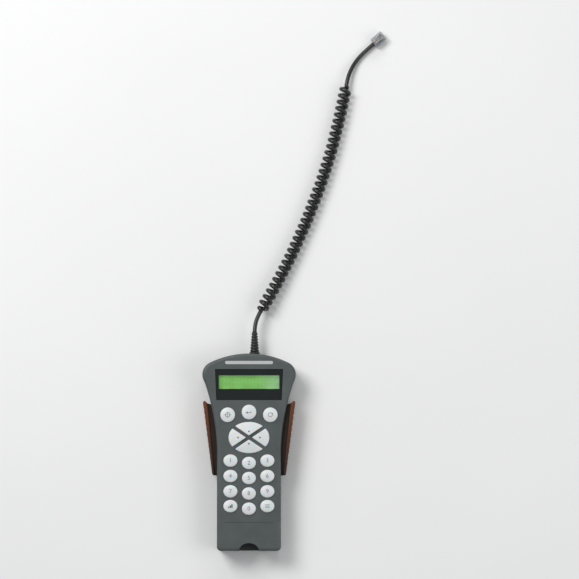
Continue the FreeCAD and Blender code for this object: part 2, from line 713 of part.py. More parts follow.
def make_electronics(keys):
    """The keypad's board, mat, webs and lamps, and what is soldered under the board."""
    board_top = "board_low + board_thick"
    card = box(("-board_half_width", "board_half_width"), ("board_bottom", "board_end"),
               ("board_low", board_top))
    through = ("board_low - 1", f"{board_top} + 6")
    post_holes = [cylinder(x, y, "nut_post + 0.5", through) for x, y in CASE_SCREWS[2:]]
    screw_holes = [cylinder(x, y, "small_shank + 0.2", through) for x, y in BOARD_SCREWS]
    cut(card, post_holes + screw_holes, "main_board")
    mat_range = (board_top, f"{board_top} + mat_thick")
    mat = box(("-mat_half_width", "mat_half_width"), ("mat_bottom", "board_end - 0.2"), mat_range)
    holes = [cylinder(key[1], key[2], "web_radius - 1", mat_range) for key in keys]
    holes += [cylinder(x, y, 1.4, mat_range) for x, y in LED_SPOTS]
    holes += [cylinder(x, y, "nut_post + 0.5", mat_range) for x, y in CASE_SCREWS[2:4]]
    holes += [cylinder(x, y, "small_post + 0.4", mat_range) for x, y in BOARD_SCREWS[:2]]
    cut(mat, holes, "keypad_mat")
    webs = []
    web_range = (f"{board_top} + mat_thick", f"{board_top} + mat_thick + web_high")
    top_radius = "core_radius + 0.1"
    for key in keys:
        outer = cone(key[1], key[2], ("web_radius", f"{top_radius} + web_thick"), web_range)
        inner = cone(key[1], key[2], ("web_radius - web_thick", top_radius), web_range)
        webs.append(cut(outer, [inner]))
    group(webs, "key_webs")
    lamps = [box((x - 1.0, x + 1.0), (y - 0.6, y + 0.6), (board_top, f"{board_top} + 0.7"))
             for x, y in LED_SPOTS]
    group(lamps, "key_lamps")
    chips = [box((x - wide / 2, x + wide / 2), (y - high / 2, y + high / 2),
                 (f"board_low - {thick}", "board_low")) for x, y, wide, high, thick in PACKAGES]
    chips += [cylinder(x, y, 2.5, ("board_low - 5.5", "board_low")) for x, y in CAPACITORS]
    group(chips, "board_parts")
    screws(BOARD_SCREWS, "small_shank", "small_head",
           ("board_low - small_head_high", "board_low"), "small_top", "board_screws")


def make_socket():
    """The modular data socket behind the recess in the lower end, and its six contacts."""
    shell = box(("-socket_half_wide", "socket_half_wide"),
                ("socket_front", "socket_front + socket_deep"), ("socket_low", "board_low"))
    inside = ("socket_front - 1", "socket_front + socket_deep - socket_back_wall")
    jack = box(("-jack_half_wide", "jack_half_wide"), inside, ("jack_low", "jack_high"))
    latch_way = box(("-latch_way_half_wide", "latch_way_half_wide"), inside,
                    ("latch_way_low", "jack_low + 0.5"))
    cut(shell, [jack, latch_way], "data_socket")
    contacts = [tube(((x, -70.5, 12.7), (x, -75.5, 13.0), (x, -82.6, 14.4)), "contact_radius")
                for x in in_a_row(CONTACT_PITCH)]
    group(contacts, "socket_contacts")


def make_cord_entry():
    """The strain relief, the connector on the board and the six leads between them."""
    steps = ((0, "relief_start"), ("relief_radius", "relief_start"),
             ("relief_radius", "relief_start + 1.8"), ("relief_neck", "relief_start + 1.8"),
             ("relief_neck", "relief_start + 5.1"), ("relief_radius", "relief_start + 5.1"),
             ("relief_radius", "relief_start + 6.9"), (4.3, "relief_start + 7.9"),
             (2.8, "relief_end"), (0, "relief_end"))
    body = doc.addObject("PartDesign::Body", "strain_relief")
    body.Label = "strain_relief"
    profile = sketch_on(body, "XY_Plane")
    polygon(profile, steps)
    turn = body.newObject("PartDesign::Revolution", "relief_turn")
    turn.Profile = profile
    turn.ReferenceAxis = (profile, ["V_Axis"])
    turn.Angle = 360
    put(body, "cord_x", 0, "part_line")

    ends = [number("connector_x") + step for step in in_a_row(LEAD_PITCH)]
    housing = box(("connector_x - connector_half_wide", "connector_x + connector_half_wide"),
                  ("connector_low_y", "connector_high_y"), ("board_low - connector_high", "board_low"))
    slots = [box((x - 0.5, x + 0.5), ("connector_high_y - 1", "connector_high_y + 1"), (12.9, 15.9))
             for x in ends]
    cut(housing, slots, "cord_connector")
    turns = [2 * math.pi * index / CONTACTS for index in range(CONTACTS)]
    starts = sorted((SIZES["cord_x"] + LEAD_CIRCLE * math.sin(angle),
                     SIZES["part_line"] + LEAD_CIRCLE * math.cos(angle)) for angle in turns)
    leads = []
    for (start_x, start_z), end_x in zip(starts, ends):
        shift = end_x - start_x
        route = ((start_x, 87.6, start_z), (start_x + 0.3 * shift, 76.0, start_z - 0.6),
                 (start_x + 0.7 * shift, 54.0, 13.6), (end_x, 39.0, 14.4))
        leads.append(tube(route, "lead_radius"))
    group(leads, "cord_leads")


def make_grips():
    """Rubber wings on both sides, each carried by a black rail that follows the case."""
    for sign, side in ((-1, "left"), (1, "right")):
        hug = case_shell(f"hug_{side}", ("grip_low - 1", "grip_high + 1"), "0", None, 0, None)
        corners = (("rail_root_x", "grip_bottom"), ("rail_bottom_x", "grip_bottom"),
                   ("rail_top_x", "grip_top"), ("rail_root_x", "grip_top - 2 * grip_rake"))
        rail = plate([(f"{sign} * {x}", y) for x, y in corners],
                     ("grip_low + rail_inset", "grip_high - rail_inset"))
        cut(rail, [hug], f"grip_rail_{side}")

        corners = (("rail_bottom_x", "grip_bottom"), ("grip_bottom_x", "grip_bottom"),
                   ("grip_top_x", "grip_top + grip_rake"), ("rail_top_x", "grip_top"))
        grip = plate([(f"{sign} * {x}", y) for x, y in corners], ("grip_low", "grip_high"),
                     f"side_grip_{side}")
        doc.recompute()
        pad = grip.Tip
        outer = [f"Edge{index}" for index, edge in enumerate(pad.Shape.Edges, start=1)
                 if all(abs(vertex.X) > number("grip_bottom_x") - 0.01 for vertex in edge.Vertexes)
                 and abs(edge.tangentAt(edge.FirstParameter).z) < 0.5
                 and edge.Length > 50]
        fillet = grip.newObject("PartDesign::Fillet", name_for("rounding"))
        fillet.Base = (pad, outer)
        bind(fillet, Radius="grip_round")
        grip.Tip = fillet


def make_plug():
    """The modular plug on the end of the cord, lying on its contacts' side with its latch up.

    It is modelled along +Y from its cable end, then turned and set down at the end of the cord.
    """
    end, before = Vector(*FAR_ROUTE[-1]), Vector(*FAR_ROUTE[-2])
    angle = math.degrees(math.atan2(end.y - before.y, end.x - before.x)) - 90.0
    seat = FreeCAD.Placement(Vector(end.x, end.y, 0.1), FreeCAD.Rotation(Vector(0, 0, 1), angle))
    half = "plug_wide / 2"
    block = box((f"-{half}", half), (0, "plug_long"), (0, "plug_high"))
    slots = [box((x - 0.3, x + 0.3), ("plug_long - blade_long - 0.2", "plug_long + 1"),
                 (-1, "blade_high")) for x in in_a_row(CONTACT_PITCH)]
    waist = box(("-latch_wide / 2 - 0.3", "latch_wide / 2 + 0.3"),
                ("plug_long - 9.4", "plug_long - 1.2"), ("plug_high - 1", "plug_high + 1"))
    body = cut(block, slots + [waist])
    blades = group([box((x - 0.25, x + 0.25), ("plug_long - blade_long", "plug_long - 1"),
                        (0.2, "blade_high")) for x in in_a_row(CONTACT_PITCH)])
    root_y, root_z = "plug_long - latch_root", "plug_high - latch_root_drop"
    strip = doc.addObject("PartDesign::Body", "latch_strip")
    side = sketch_on(strip, "YZ_Plane", "-latch_wide / 2")
    polygon(side, ((root_y, f"{root_z} - 0.4"), (root_y, f"{root_z} + 0.4"),
                   ("plug_long - 5.4", "plug_high + 1.5"), ("plug_long - 5.4", "plug_high + 2.1"),
                   ("plug_long - 6.4", "plug_high + 2.1"), ("-0.5", "plug_high + 3.3"),
                   ("-0.5", "plug_high + 2.4"), (f"{root_y} - 0.3", f"{root_z} - 0.35")))
    pad = strip.newObject("PartDesign::Pad", name_for("pad"))
    pad.Profile = side
    bind(pad, Length="latch_wide")
    root = bar_along_x(root_y, root_z, "latch_root_radius", ("-latch_wide / 2", "latch_wide / 2"))
    latch = fuse([strip, root])
    for item, label in ((body, "plug_body"), (blades, "plug_contacts"), (latch, "plug_latch")):
        item.Label = label
        item.Placement = seat


KEYS = key_layout()
for each_key in KEYS:
    make_key(each_key)
make_case(KEYS)
make_display()
make_electronics(KEYS)
make_socket()
make_cord_entry()
make_grips()
tube(NEAR_ROUTE, "cable_radius", "cord_tail_near")
tube(COIL_ROUTE, "coil_radius", "cord_coil")
tube(FAR_ROUTE, "cable_radius", "cord_tail_far")
make_plug()
doc.removeObject(probe.Name)
doc.recompute()

NODES = ["front_shell", "rear_shell", "case_screws", "rear_label", "display_lens", "lens_tape",
         "display_seal", "lcd_frame", "lcd_glass", "lcd_backlight", "lcd_board", "lcd_ribbon",
         "lcd_screws", "main_board", "keypad_mat", "key_webs", "key_lamps", "board_parts",
         "board_screws", "data_socket", "socket_contacts", "cord_connector", "cord_leads",
         "grip_rail_left", "grip_rail_right", "side_grip_left", "side_grip_right",
         "strain_relief", "cord_tail_near", "cord_coil", "cord_tail_far", "plug_body",
         "plug_contacts", "plug_latch"] + [each_key[0] for each_key in KEYS]

for item in doc.Objects:
    if {"Invalid", "Error"} & set(item.State):
        raise SystemExit(f"{item.Name} failed: {item.State}")
os.makedirs("parts", exist_ok=True)
for node in NODES:
    shape = doc.getObjectsByLabel(node)[0].Shape
    if shape.isNull() or not shape.isValid() or not shape.Solids:
        raise SystemExit(f"{node} has no valid solid")
    shape.exportStep(f"parts/{node}.step")
    print(f"{node}: {len(shape.Solids)} solid(s), {shape.Volume:.0f} cubic mm")
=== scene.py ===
"""Looks for the telescope hand controller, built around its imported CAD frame.

Everything is in metres in the frame's own axes: +Z out of the keys, +Y towards the display and
the cord, +X to the right of someone reading the keys.
"""

import math

import bmesh
import bpy
from mathutils import Matrix, Vector


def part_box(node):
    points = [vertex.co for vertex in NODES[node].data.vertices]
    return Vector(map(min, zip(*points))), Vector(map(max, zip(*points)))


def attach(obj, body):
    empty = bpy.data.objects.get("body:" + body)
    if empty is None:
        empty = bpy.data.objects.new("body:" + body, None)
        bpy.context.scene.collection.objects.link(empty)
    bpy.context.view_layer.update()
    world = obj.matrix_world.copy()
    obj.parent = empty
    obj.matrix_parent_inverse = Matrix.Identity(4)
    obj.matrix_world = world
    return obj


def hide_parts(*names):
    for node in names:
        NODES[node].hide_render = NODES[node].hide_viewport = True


MM = 0.001

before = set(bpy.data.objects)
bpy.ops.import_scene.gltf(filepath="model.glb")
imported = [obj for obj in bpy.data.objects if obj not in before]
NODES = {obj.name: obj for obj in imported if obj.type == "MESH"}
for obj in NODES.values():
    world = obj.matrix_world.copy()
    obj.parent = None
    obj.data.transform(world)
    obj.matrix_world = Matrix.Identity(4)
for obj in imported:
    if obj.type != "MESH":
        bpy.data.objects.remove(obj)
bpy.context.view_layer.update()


# ---------------------------------------------------------------- places, read from the frame

FACE_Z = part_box("front_shell")[1].z
LENS_LOW, LENS_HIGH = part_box("display_lens")
RELIEF_LOW, RELIEF_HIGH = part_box("strain_relief")
CORD_X = (RELIEF_LOW.x + RELIEF_HIGH.x) / 2
CORD_Z = (RELIEF_LOW.z + RELIEF_HIGH.z) / 2

CABLE_DIAMETER = 3.9 * MM
COIL_RADIUS = 4.35 * MM
COIL_PITCH = 6.3 * MM
STEPS_PER_TURN = 14
END_TURNS = 0.8
UNEVENNESS = 0.015
UNEVEN_RATE = 0.37

# The cord's route, the same points as the CAD model's three tubes.
NEAR_ROUTE = ((5.0, 114.0, 14.0), (5.4, 120.2, 13.6), (7.2, 126.6, 12.6), (10.2, 132.8, 11.3))
COIL_ROUTE = ((10.2, 132.8, 11.3), (26.2, 160.4, 7.8), (43.2, 194.6, 6.6), (59.0, 231.6, 6.5),
              (73.2, 271.0, 6.5), (84.4, 312.0, 6.5), (92.4, 350.8, 6.5))
FAR_ROUTE = ((92.4, 350.8, 6.5), (94.0, 358.6, 5.9), (96.8, 366.2, 4.6), (101.0, 373.6, 3.2),
             (106.4, 380.2, 2.6), (112.6, 386.0, 3.0), (118.8, 391.4, 3.4))


def metres(points):
    return [Vector(point) * MM for point in points]


# ---------------------------------------------------------------- materials

def mixed(nodes, links, factor, low, high):
    """A colour that runs from low to high with a factor."""
    mix = nodes.new("ShaderNodeMix")
    mix.data_type = "RGBA"
    mix.inputs[6].default_value = (*low, 1)
    mix.inputs[7].default_value = (*high, 1)
    links.new(factor, mix.inputs[0])
    return mix.outputs[2]


def noise(nodes, links, coords, scale, detail=3.0, stretch=None):
    """A noise factor in object space; scale is in features per metre."""
    place = coords
    if stretch:
        mapping = nodes.new("ShaderNodeMapping")
        mapping.inputs["Scale"].default_value = stretch
        links.new(coords, mapping.inputs["Vector"])
        place = mapping.outputs["Vector"]
    texture = nodes.new("ShaderNodeTexNoise")
    texture.inputs["Scale"].default_value = scale
    texture.inputs["Detail"].default_value = detail
    links.new(place, texture.inputs["Vector"])
    return texture.outputs["Fac"]


def spread(nodes, links, factor, low, high, start=0.3, end=0.7):
    """Rescale a factor to run from low to high."""
    ramp = nodes.new("ShaderNodeMapRange")
    ramp.inputs["From Min"].default_value = start
    ramp.inputs["From Max"].default_value = end
    ramp.inputs["To Min"].default_value = low
    ramp.inputs["To Max"].default_value = high
    links.new(factor, ramp.inputs["Value"])
    return ramp.outputs["Result"]


def shade(colour, factor):
    return tuple(min(1.0, channel * factor) for channel in colour)


def material(name, colour, rough, mottle=0.12, mottle_scale=60, grain_scale=2500, grain=0.02,
             stretch=None, **sockets):
    """A moulded or rubbed surface: mottled colour, uneven gloss and a fine grain.

    grain is the grain's height in millimetres; sockets are set on the shader itself.
    """
    made = bpy.data.materials.new(name)
    made.use_nodes = True
    nodes, links = made.node_tree.nodes, made.node_tree.links
    shader = nodes["Principled BSDF"]
    coords = nodes.new("ShaderNodeTexCoord").outputs["Object"]
    patches = noise(nodes, links, coords, mottle_scale, 4.0, stretch)
    fine = noise(nodes, links, coords, grain_scale, 2.0, stretch)
    factor = spread(nodes, links, patches, 0.0, 1.0)
    tone = mixed(nodes, links, factor, shade(colour, 1 - mottle), shade(colour, 1 + mottle))
    links.new(tone, shader.inputs["Base Color"])
    gloss = spread(nodes, links, fine, rough * 0.88, min(1.0, rough * 1.12))
    links.new(gloss, shader.inputs["Roughness"])
    bump = nodes.new("ShaderNodeBump")
    bump.inputs["Strength"].default_value = 0.6
    bump.inputs["Distance"].default_value = grain * MM
    links.new(fine, bump.inputs["Height"])
    links.new(bump.outputs["Normal"], shader.inputs["Normal"])
    for socket, value in sockets.items():
        shader.inputs[socket.replace("_", " ")].default_value = value
    return made


PALE_END_X = (8 * MM, 29 * MM)


def lit_panel(name, left, right, strength):
    """A backlit panel, brighter and paler towards its right end."""
    made = bpy.data.materials.new(name)
    made.use_nodes = True
    nodes, links = made.node_tree.nodes, made.node_tree.links
    shader = nodes["Principled BSDF"]
    coords = nodes.new("ShaderNodeTexCoord").outputs["Object"]
    split = nodes.new("ShaderNodeSeparateXYZ")
    links.new(coords, split.inputs[0])
    along = spread(nodes, links, split.outputs["X"], 0.0, 1.0, *PALE_END_X)
    tone = mixed(nodes, links, along, left, right)
    patches = spread(nodes, links, noise(nodes, links, coords, 90, 3.0), 0.9, 1.06)
    lit = nodes.new("ShaderNodeVectorMath")
    lit.operation = "SCALE"
    links.new(tone, lit.inputs[0])
    links.new(patches, lit.inputs["Scale"])
    links.new(lit.outputs["Vector"], shader.inputs["Base Color"])
    links.new(lit.outputs["Vector"], shader.inputs["Emission Color"])
    shader.inputs["Emission Strength"].default_value = strength
    shader.inputs["Roughness"].default_value = 0.35
    return made


def rubber_with_painted_shade(name, painted_shade_colour, high_colour):
    """The grips' rubber: burnt orange darkened with painted shade, running from a painted shadow
    near black at the lower end to reddish brown towards the upper end.
    """
    made = material(name, high_colour, 0.62, 0.0, 120, 1900, 0.05, Sheen_Weight=0.04,
                    Sheen_Roughness=0.5, Specular_IOR_Level=0.35)
    nodes, links = made.node_tree.nodes, made.node_tree.links
    split = nodes.new("ShaderNodeSeparateXYZ")
    links.new(nodes.new("ShaderNodeTexCoord").outputs["Object"], split.inputs[0])
    low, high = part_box("side_grip_left")
    # The painted shadow lightens from the lower end to four fifths of the way up the grip.
    warmest = low.y + 0.8 * (high.y - low.y)
    along = spread(nodes, links, split.outputs["Y"], 0.0, 1.0, low.y, warmest)
    tone = mixed(nodes, links, along, painted_shade_colour, high_colour)
    links.new(tone, nodes["Principled BSDF"].inputs["Base Color"])
    return made


def make_materials():
    """Every material, by the name used below."""
    return {
        "case": material("case_plastic", (0.074, 0.088, 0.088), 0.5, 0.13, 55, 2000, 0.06,
                         Coat_Weight=0.08, Coat_Roughness=0.4),
        "rear": material("case_plastic_rear", (0.062, 0.072, 0.073), 0.56, 0.13, 50, 1800, 0.07),
        "key": material("key_rubber", (0.76, 0.79, 0.79), 0.42, 0.04, 180, 1500, 0.012,
                        Subsurface_Weight=0.25, Subsurface_Scale=1.2 * MM, Sheen_Weight=0.06),
        "mat": material("mat_rubber", (0.6, 0.62, 0.61), 0.6, 0.06, 90, 900, 0.02),
        "carbon": material("carbon_pill", (0.02, 0.02, 0.02), 0.8, 0.2, 400, 2500, 0.01),
        "legend": material("legend_ink", (0.2, 0.22, 0.24), 0.5, 0.15, 600, 3000, 0.004),
        "dark_legend": material("dark_legend_ink", (0.03, 0.035, 0.05), 0.45, 0.15, 600, 3000,
                                0.004),
        "rule": material("rule_ink", (0.52, 0.53, 0.54), 0.4, 0.06, 500, 2500, 0.004),
        # Painted shadow line for a shallow groove across the chin.
        "groove": material("groove_painted_shadow", (0.03, 0.037, 0.038), 0.6, 0.1, 500, 2500, 0.004),
        "bezel": material("lens_border", (0.008, 0.012, 0.012), 0.09, 0.2, 40, 300, 0.002,
                          Coat_Weight=0.5, Coat_Roughness=0.04, Specular_IOR_Level=0.4),
        "window": material("lens_window", (0.93, 0.98, 0.94), 0.04, 0.02, 40, 300, 0.001,
                           Transmission_Weight=1.0, IOR=1.2),
        "lcd": lit_panel("lcd_green", (0.21, 0.47, 0.12), (0.33, 0.56, 0.3), 0.45),
        "cells": lit_panel("lcd_cells", (0.19, 0.44, 0.108), (0.31, 0.53, 0.28), 0.45),
        "backlight": material("backlight", (0.5, 0.75, 0.3), 0.5, 0.05, 90, 600, 0.01),
        "black_metal": material("frame_steel", (0.02, 0.02, 0.02), 0.4, 0.15, 200, 1500, 0.008,
                                Metallic=0.6),
        "foam": material("foam", (0.03, 0.03, 0.03), 0.9, 0.3, 900, 1500, 0.1),
        "tape": material("black_tape", (0.02, 0.02, 0.02), 0.7, 0.2, 300, 1800, 0.01),
        "board": material("circuit_board", (0.02, 0.16, 0.06), 0.38, 0.3, 320, 900, 0.01,
                          Coat_Weight=0.3, Coat_Roughness=0.2),
        "ribbon": material("ribbon_film", (0.42, 0.22, 0.05), 0.3, 0.1, 300, 900, 0.004),
        "lamp": material("lamp_lens", (0.8, 0.28, 0.22), 0.25, 0.1, 400, 2000, 0.004),
        "chip": material("chip_black", (0.02, 0.02, 0.021), 0.55, 0.2, 400, 2600, 0.01),
        "socket": material("socket_plastic", (0.018, 0.019, 0.02), 0.45, 0.2, 200, 2000, 0.01),
        "gold": material("gold_contact", (0.85, 0.6, 0.22), 0.22, 0.08, 400, 3000, 0.004,
                         Metallic=1.0),
        "nylon": material("connector_nylon", (0.72, 0.68, 0.56), 0.5, 0.06, 200, 2000, 0.01),
        "screw": material("screw_steel", (0.5, 0.5, 0.52), 0.32, 0.12, 500, 4000, 0.006,
                          Metallic=1.0),
        "label": material("label_film", (0.55, 0.56, 0.57), 0.36, 0.05, 120, 3000, 0.004,
                          (1.0, 0.05, 1.0), Metallic=0.7),
        "rail": material("rail_rubber", (0.018, 0.01, 0.006), 0.6, 0.25, 150, 1600, 0.03,
                         Specular_IOR_Level=0.3),
        # Burnt orange rubber darkened with painted shade, running to a painted shadow near black
        # at the lower end.
        "grip": rubber_with_painted_shade("grip_rubber", (0.022, 0.009, 0.004), (0.125, 0.036, 0.009)),
        "jacket": material("cord_jacket", (0.013, 0.013, 0.014), 0.36, 0.25, 120, 1800, 0.01,
                           Coat_Weight=0.15, Coat_Roughness=0.3),
        "clear": material("plug_clear", (0.86, 0.88, 0.89), 0.1, 0.03, 200, 1200, 0.004,
                          Transmission_Weight=0.85, IOR=1.4),
    }


# ---------------------------------------------------------------- mesh helpers

def new_object(name, mesh, body, paint):
    """Link a mesh as a piece that rides on a body."""
    piece = bpy.data.objects.new(name, mesh)
    bpy.context.scene.collection.objects.link(piece)
    piece.data.materials.append(paint)
    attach(piece, body)
    return piece


def mesh_from(name, build, smooth=True):
    """Make a mesh with a function that fills a bmesh."""
    work = bmesh.new()
    build(work)
    bmesh.ops.remove_doubles(work, verts=work.verts, dist=0.002 * MM)
    bmesh.ops.recalc_face_normals(work, faces=work.faces)
    mesh = bpy.data.meshes.new(name)
    work.to_mesh(mesh)
    work.free()
    for face in mesh.polygons:
        face.use_smooth = smooth
    return mesh


def loft(work, rings, close_start=True, close_end=True):
    """Join rings of the same number of points into a skin, and cap its ends."""
    rows = [[work.verts.new(point) for point in ring] for ring in rings]
    count = len(rows[0])
    for lower, upper in zip(rows, rows[1:]):
        for index in range(count):
            following = (index + 1) % count
            work.faces.new((lower[index], lower[following], upper[following], upper[index]))
    for wanted, row in ((close_start, rows[0]), (close_end, rows[-1])):
        if wanted:
            middle = work.verts.new(sum((vertex.co for vertex in row), Vector()) / count)
            for index in range(count):
                work.faces.new((row[index], row[(index + 1) % count], middle))


def sharpen(piece, angle=35):
    """Keep edges sharper than an angle crisp under smooth shading."""
    modifier = piece.modifiers.new("split", "EDGE_SPLIT")
    modifier.split_angle = math.radians(angle)


def bevel(piece, width, segments=2, angle=30):
    """Round the sharp edges of a piece."""
    modifier = piece.modifiers.new("round", "BEVEL")
    modifier.width = width
    modifier.segments = segments
    modifier.limit_method = "ANGLE"
    modifier.angle_limit = math.radians(angle)
    modifier.harden_normals = True


def even_shading(piece, angle=32):
    """Shade a moulded node evenly over its rounded rims, and keep its sharp edges crisp."""
    weld = piece.modifiers.new("join", "WELD")
    weld.merge_threshold = 0.002 * MM
    sharpen(piece, angle)
    shading = piece.modifiers.new("shading", "WEIGHTED_NORMAL")
    shading.weight = 80


# ---------------------------------------------------------------- cord

def smooth_curve(name, control):
    """A curve object with one smooth spline, shaped by its control points."""
    curve = bpy.data.curves.new(name, "CURVE")
    curve.dimensions = "3D"
    spline = curve.splines.new("NURBS")
    spline.points.add(len(control) - 1)
    for point, place in zip(spline.points, control):
        point.co = (*place, 1)
    spline.order_u = 3
    spline.use_endpoint_u = True
    holder = bpy.data.objects.new(name, curve)
    bpy.context.scene.collection.objects.link(holder)
    return holder, curve


def route_samples(control):
    """Points along the smooth curve that a list of control points makes."""
    holder, curve = smooth_curve("route", control)
    curve.resolution_u = 40
    bpy.context.view_layer.update()
    mesh = bpy.data.meshes.new_from_object(holder)
    samples = [vertex.co.copy() for vertex in mesh.vertices]
    bpy.data.objects.remove(holder)
    bpy.data.curves.remove(curve)
    bpy.data.meshes.remove(mesh)
    return samples


def lengths_along(samples):
    total, reached = 0.0, [0.0]
    for before, after in zip(samples, samples[1:]):
        total += (after - before).length
        reached.append(total)
    return reached


def point_at(samples, reached, distance):
    """The place and the direction at a distance along the samples."""
    index = next((i for i, value in enumerate(reached) if value >= distance), len(reached) - 1)
    index = max(1, index)
    step = samples[index] - samples[index - 1]
    share = (distance - reached[index - 1]) / max(1e-9, reached[index] - reached[index - 1])
    return samples[index - 1] + step * share, step.normalized()


def helix(route):
    """The turns of the curly stretch, wound round the route's smooth curve."""
    samples = route_samples(route)
    reached = lengths_along(samples)
    total = reached[-1]
    turns = total / COIL_PITCH
    steps = round(turns * STEPS_PER_TURN)
    points = []
    for step in range(steps + 1):
        along = total * step / steps
        place, direction = point_at(samples, reached, along)
        side = direction.cross(Vector((0, 0, 1))).normalized()
        up = side.cross(direction)
        from_end = min(step, steps - step) / STEPS_PER_TURN
        swell = min(1.0, from_end / END_TURNS)
        radius = COIL_RADIUS * swell * swell * (3 - 2 * swell)
        wobble = 1 + UNEVENNESS * math.sin(step * UNEVEN_RATE)
        angle = 2 * math.pi * step / STEPS_PER_TURN
        points.append(place + (side * math.cos(angle) + up * math.sin(angle)) * radius * wobble)
    return points


def make_cord(paint):
    """The coiled cord: one spline from the strain relief to the plug."""
    route = metres(NEAR_ROUTE[:-1]) + helix(metres(COIL_ROUTE)) + metres(FAR_ROUTE[1:])
    piece, curve = smooth_curve("coiled_cord", route)
    curve.resolution_u = 4
    curve.bevel_depth = CABLE_DIAMETER / 2
    curve.bevel_resolution = 5
    curve.use_fill_caps = True
    curve.materials.append(paint)
    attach(piece, "case")
    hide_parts("cord_tail_near", "cord_coil", "cord_tail_far")
    return piece


RELIEF_NECK = 3.5 * MM
RELIEF_RINGS = 7
RING_RADII = (4.4 * MM, 2.8 * MM)
RING_GROOVE = 0.75 * MM


def make_relief(paint):
    """The strain relief: a collar and a tapered sleeve of flexing rings."""
    start, end = RELIEF_LOW.y, RELIEF_HIGH.y
    collar = RELIEF_HIGH.z - CORD_Z
    neck = RELIEF_NECK
    profile = [(start, 0.6 * collar), (start, collar - 0.2 * MM), (start + 0.2 * MM, collar),
               (start + 1.7 * MM, collar), (start + 1.8 * MM, neck), (start + 5.1 * MM, neck),
               (start + 5.2 * MM, collar - 0.4 * MM), (start + 5.5 * MM, collar),
               (start + 6.5 * MM, collar), (start + 6.9 * MM, collar - 0.4 * MM)]
    ring_start, ring_end = start + 7.2 * MM, end - 0.6 * MM
    pitch = (ring_end - ring_start) / RELIEF_RINGS
    for index in range(RELIEF_RINGS):
        low = ring_start + pitch * index
        share = (index + 0.5) / RELIEF_RINGS
        outer = RING_RADII[0] + (RING_RADII[1] - RING_RADII[0]) * share
        inner, soft = outer - RING_GROOVE, outer - 0.15 * MM
        profile += [(low, inner), (low + 0.08 * pitch, soft), (low + 0.18 * pitch, outer),
                    (low + 0.62 * pitch, outer), (low + 0.72 * pitch, soft),
                    (low + 0.8 * pitch, inner)]
    profile += [(end - 0.3 * MM, 2.5 * MM), (end, 2.3 * MM)]
    around = 40

    def build(work):
        turned = []
        for y, radius in profile:
            turned.append([Vector((CORD_X + radius * math.cos(2 * math.pi * k / around), y,
                                   CORD_Z + radius * math.sin(2 * math.pi * k / around)))
                           for k in range(around)])
        loft(work, turned)

    piece = new_object("strain_relief_sleeve", mesh_from("strain_relief_sleeve", build), "case",
                       paint)
    sharpen(piece, 40)
    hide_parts("strain_relief")
    return piece


# ---------------------------------------------------------------- keys

KEY_TOP = max(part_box(name)[1].z for name in NODES if name.startswith("key_") and
              name not in ("key_webs", "key_lamps"))
ROUND_KEYS = ("key_align", "key_enter", "key_back")
NUMBER_KEYS = ("key_1", "key_2", "key_3", "key_4", "key_5", "key_6", "key_7", "key_8", "key_9",
               "key_speed", "key_0", "key_menu")
PETALS = {"key_down": 0, "key_right": 1, "key_up": 2, "key_left": 3}
PETAL_FACING = (-math.pi / 2, 0.0, math.pi / 2, math.pi)
PETAL_CORES = ((0.0, -9.4), (12.8, 0.0), (0.0, 9.4), (-12.8, 0.0))
ARROW_OUT = (5.9 * MM, 10.4 * MM, 5.9 * MM, 10.4 * MM)
KEY_LIP = 0.8 * MM
LIP_LOW, LIP_HIGH = 24.7 * MM, 26.2 * MM
CORE_RADIUS, CORE_LOW = 3.9 * MM, 20.85 * MM
PILL_RADIUS, PILL_THICK = 3.2 * MM, 0.55 * MM
PAD_HALF = Vector((19.25 * MM, 14.8 * MM))
PAD_ANGLE = math.radians(34)
PAD_SPLIT = 3.0 * MM
CROWN = 1.8
CROWN_DEPTH, PAD_CROWN_DEPTH = 6 * MM, 10 * MM
RIM = 0.8 * MM
RIM_STEPS = 5
TOP_SHARES = (0.85, 0.68, 0.5, 0.32, 0.15)
PILL_EDGE = 0.15 * MM


def key_middle(name):
    low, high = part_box(name)
    return (low.x + high.x) / 2, (low.y + high.y) / 2


PAD_Y = (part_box("key_down")[0].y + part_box("key_up")[1].y) / 2


def oval_outline(x, y, half_wide, half_high, count=48):
    return [Vector((x + half_wide * math.cos(2 * math.pi * k / count),
                    y + half_high * math.sin(2 * math.pi * k / count))) for k in range(count)]


def petal_outline(side, inset, count=120):
    """One quarter of the oval pad, drawn in by an inset, with its corners rounded off."""
    open_angle = math.pi / 2 - PAD_ANGLE if side % 2 == 0 else PAD_ANGLE
    facing = PETAL_FACING[side]
    apex_out = (PAD_SPLIT / 2 + inset) / math.sin(open_angle)
    apex = Vector((math.cos(facing), math.sin(facing))) * apex_out
    half = PAD_HALF - Vector((inset, inset))

    def hit(angle):
        """Where a ray from the apex meets the oval."""
        ray = Vector((math.cos(angle), math.sin(angle)))
        a = (ray.x / half.x)**2 + (ray.y / half.y)**2
        b = 2 * (apex.x * ray.x / half.x**2 + apex.y * ray.y / half.y**2)
        c = (apex.x / half.x)**2 + (apex.y / half.y)**2 - 1
        return apex + ray * ((-b + math.sqrt(b * b - 4 * a * c)) / (2 * a))

    first, last = hit(facing - open_angle), hit(facing + open_angle)
    straight = count * 7 // 24
    points = [apex.lerp(first, k / straight) for k in range(straight)]
    swing = count - 2 * straight
    for k in range(swing):
        points.append(hit(facing - open_angle + 2 * open_angle * k / swing))
    points += [last.lerp(apex, k / straight) for k in range(straight)]
    for _ in range(3):
        points = [(points[k - 1] + points[k] * 2 + points[(k + 1) % count]) / 4
                  for k in range(count)]
    return [Vector((point.x, point.y + PAD_Y)) for point in points]


